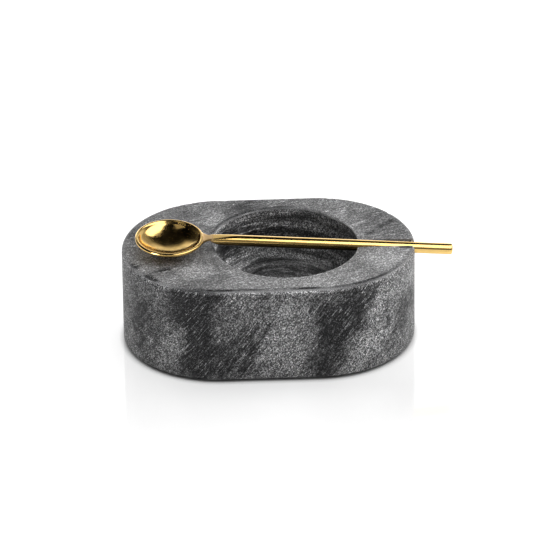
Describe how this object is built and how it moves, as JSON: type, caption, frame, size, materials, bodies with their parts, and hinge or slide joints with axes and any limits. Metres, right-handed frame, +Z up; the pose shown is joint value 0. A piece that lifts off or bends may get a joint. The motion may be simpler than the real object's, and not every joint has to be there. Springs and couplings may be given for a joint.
{
  "type": "salt cellar with spoon",
  "caption": "Stadium-shaped marble block with a round salt well and a handle groove, and a loose brass salt spoon lying across it.",
  "frame": {"origin": "on the table, under the middle of the box around the whole object at rest", "axes": "+X from the spoon's bowl towards the tip of its handle, +Y to the back, +Z up"},
  "size_m": [0.1355, 0.081, 0.0497],
  "materials": {
    "marble": "satin",
    "brass": "polished",
    "pad": "matte"
  },
  "bodies": {
    "cellar": {"marble_block": "marble", "pad_front_left": "pad", "pad_front_right": "pad", "pad_back_left": "pad", "pad_back_right": "pad"},
    "spoon": {"spoon_bowl": "brass", "spoon_handle": "brass"}
  },
  "joints": [
    {"name": "spoon_lift", "type": "slide", "parent": "cellar", "child": "spoon", "axis": [0, 0, 1], "range_m": [0, 0.08]}
  ]
}
